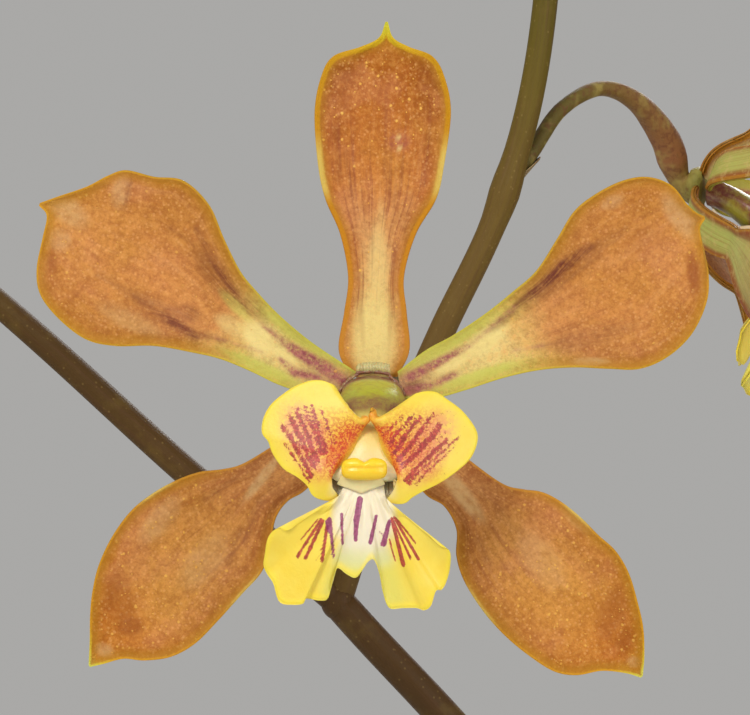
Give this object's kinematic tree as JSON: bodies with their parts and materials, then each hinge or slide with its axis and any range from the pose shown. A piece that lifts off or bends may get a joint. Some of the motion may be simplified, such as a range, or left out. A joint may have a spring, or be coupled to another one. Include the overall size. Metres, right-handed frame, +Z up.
{
  "type": "potted orchid",
  "caption": "Potted Encyclia selligera orchid: a clay pot of bark with grooved pseudobulbs, strap leaves and a forked flower stem with open brown and yellow flowers and buds.",
  "frame": {"origin": "centre of the pot's underside, on the surface the pot stands on", "axes": "+Z up the plant; -Y is the front, the way the pictured flower faces; +X is to the viewer's right"},
  "size_m": [0.3619, 0.3042, 0.6627],
  "materials": {
    "terracotta": "matt unglazed clay",
    "bark": "rough, dry",
    "root": "matt, papery",
    "pseudobulb": "waxy, with dry papery sheaths",
    "leaf": "leathery, satin",
    "stem": "satin",
    "tepal": "waxy, satin",
    "lip": "satin",
    "column": "waxy, satin",
    "anther": "satin"
  },
  "bodies": {
    "root": {"pot": "terracotta", "medium": "bark", "rhizome": "root", "pseudobulb_1": "pseudobulb", "pseudobulb_2": "pseudobulb", "pseudobulb_3": "pseudobulb", "pseudobulb_4": "pseudobulb", "pseudobulb_5": "pseudobulb", "leaf_1": "leaf", "leaf_2": "leaf", "leaf_3": "leaf", "leaf_4": "leaf", "leaf_5": "leaf", "leaf_6": "leaf", "leaf_7": "leaf", "leaf_8": "leaf", "leaf_9": "leaf", "flower_stem": "stem", "hero_dorsal_sepal": "tepal", "hero_left_petal": "tepal", "hero_right_petal": "tepal", "hero_left_sepal": "tepal", "hero_right_sepal": "tepal", "hero_column": "column", "hero_anther_cap": "anther", "hero_lip": "lip", "bloom_1_tepals": "tepal", "bloom_1_lip": "lip", "bloom_2_tepals": "tepal", "bloom_2_lip": "lip", "bloom_3_tepals": "tepal", "bloom_3_lip": "lip", "bloom_4_tepals": "tepal", "bloom_4_lip": "lip", "bloom_5_tepals": "tepal", "bloom_5_lip": "lip", "bloom_6_tepals": "tepal", "bloom_6_lip": "lip", "bloom_7_tepals": "tepal", "bloom_7_lip": "lip", "bloom_8_tepals": "tepal", "bloom_8_lip": "lip", "bloom_9_tepals": "tepal", "bloom_9_lip": "lip", "bloom_10_tepals": "tepal", "bloom_10_lip": "lip"}
  },
  "joints": []
}
